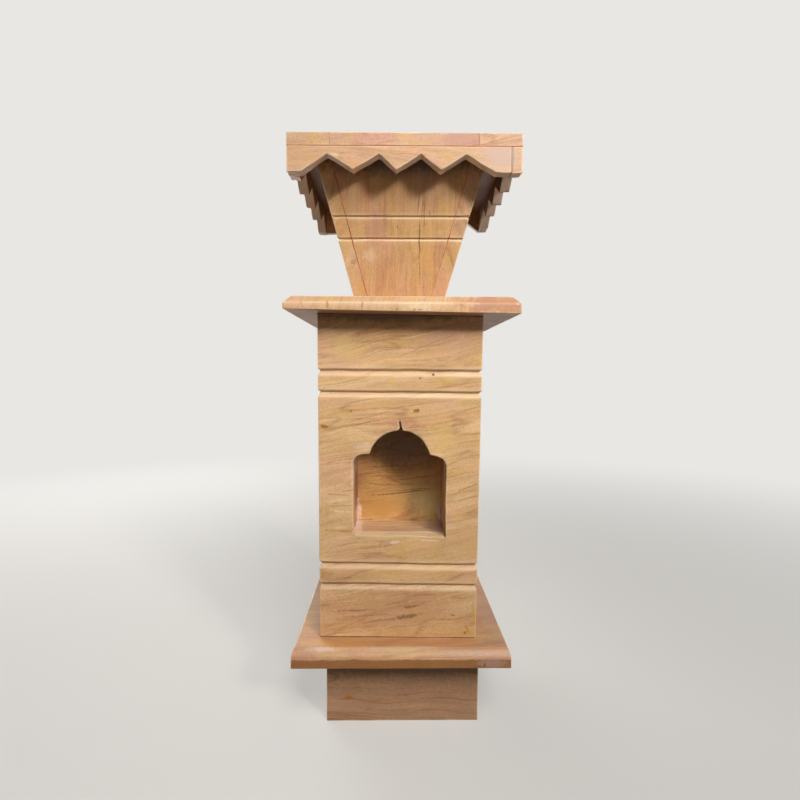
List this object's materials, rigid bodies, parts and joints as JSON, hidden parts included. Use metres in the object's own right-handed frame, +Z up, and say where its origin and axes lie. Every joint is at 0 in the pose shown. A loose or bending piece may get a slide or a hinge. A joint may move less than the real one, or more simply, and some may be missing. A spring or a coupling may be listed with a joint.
{
  "type": "tulsi vrindavan planter",
  "caption": "Slab-built sandstone pedestal with an arched lamp niche, a square cap and a flared planter under a zigzag collar.",
  "frame": {"origin": "centre of the foot's underside, on the floor", "axes": "+Z up, -Y out of the front with the niche, +X to the viewer's right"},
  "size_m": [0.3, 0.3, 0.782],
  "materials": {
    "sandstone": "matte",
    "dowel_steel": "satin"
  },
  "bodies": {
    "root": {"foot_front": "sandstone", "foot_back": "sandstone", "foot_left": "sandstone", "foot_right": "sandstone", "shaft_front": "sandstone", "shaft_back": "sandstone", "shaft_left": "sandstone", "shaft_right": "sandstone", "planter_front": "sandstone", "planter_back": "sandstone", "planter_left": "sandstone", "planter_right": "sandstone", "rim_front": "sandstone", "rim_back": "sandstone", "rim_left": "sandstone", "rim_right": "sandstone", "skirt_front": "sandstone", "skirt_back": "sandstone", "skirt_left": "sandstone", "skirt_right": "sandstone", "base_slab": "sandstone", "cap_slab": "sandstone", "planter_floor": "sandstone", "niche_back": "sandstone", "niche_sill": "sandstone", "niche_head": "sandstone", "niche_left_cheek": "sandstone", "niche_right_cheek": "sandstone", "foot_dowels": "dowel_steel", "base_dowels": "dowel_steel", "cap_dowels": "dowel_steel", "planter_dowels": "dowel_steel"}
  },
  "joints": []
}
